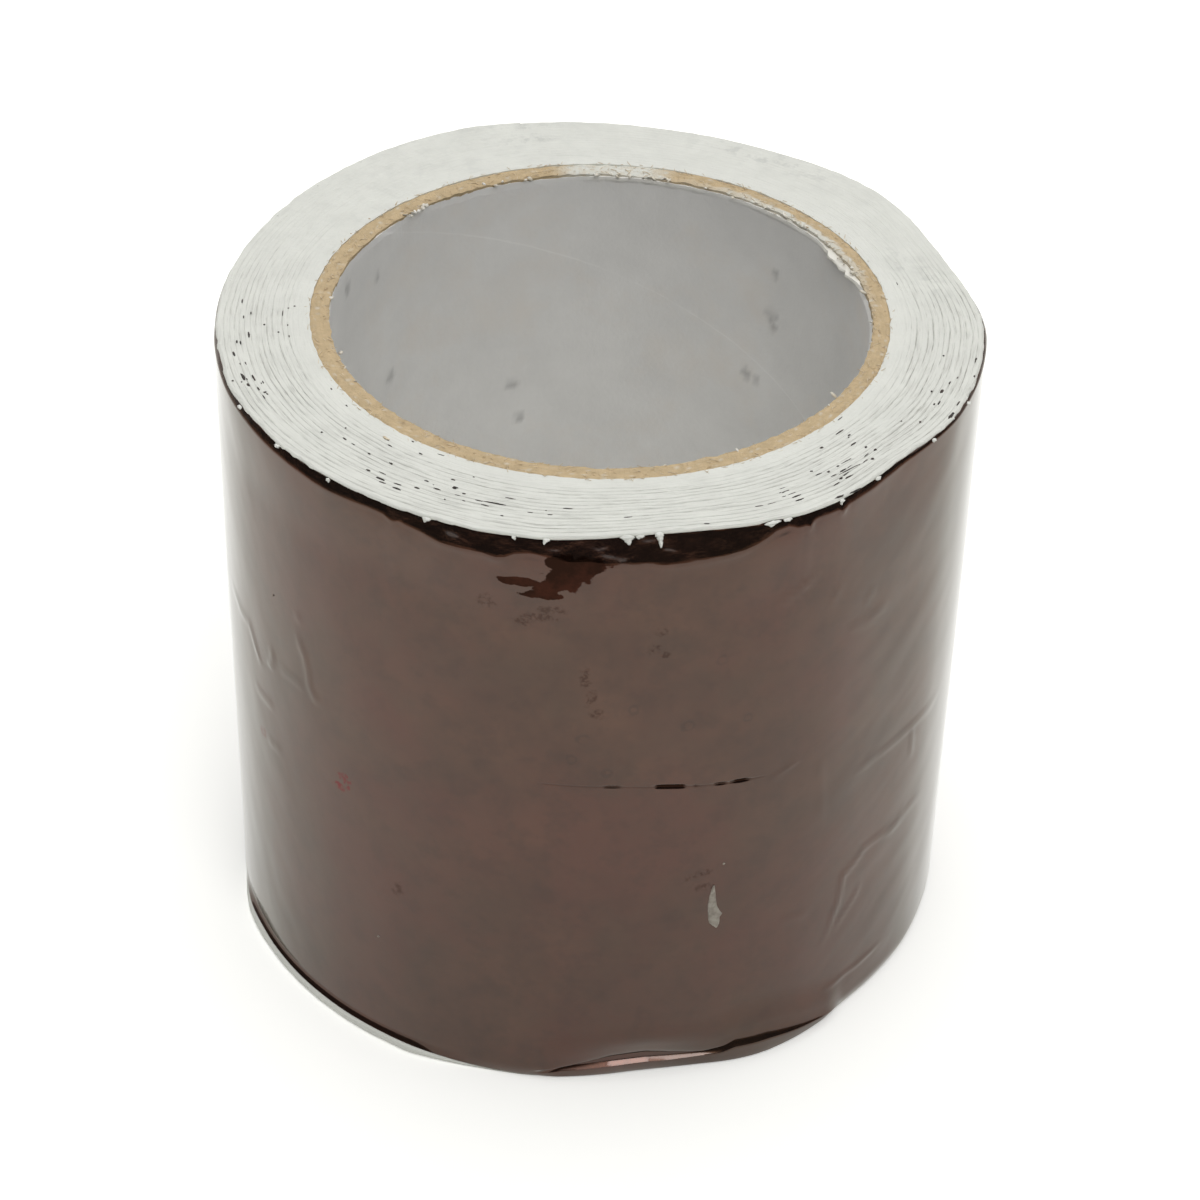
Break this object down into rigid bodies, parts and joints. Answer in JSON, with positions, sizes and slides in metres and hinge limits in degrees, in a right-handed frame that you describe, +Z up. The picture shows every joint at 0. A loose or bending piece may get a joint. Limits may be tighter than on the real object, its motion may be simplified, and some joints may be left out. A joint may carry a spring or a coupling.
{
  "type": "roll of butyl foil tape",
  "caption": "Roll of white butyl sealing tape with a glossy dark brown film on its outside, wound on a paper-lined kraft tube and standing on its end.",
  "frame": {"origin": "on the roll's axis, in the plane that the standing roll rests on", "axes": "+Z up along the roll's axis, +Y away from the picture's viewer, +X to the viewer's right"},
  "size_m": [0.1097, 0.1097, 0.1],
  "materials": {
    "lining_paper": "pale grey paper, matt, with a spiral seam",
    "kraft_board": "kraft board with a rough cut edge",
    "white_butyl": "white butyl with fine dark lines between its turns",
    "brown_film": "glossy dark red-brown film with shallow wrinkles"
  },
  "bodies": {
    "root": {"core_lining": "lining_paper", "core_tube": "kraft_board", "tape_winding": "white_butyl", "foil_facing": "brown_film"}
  },
  "joints": []
}
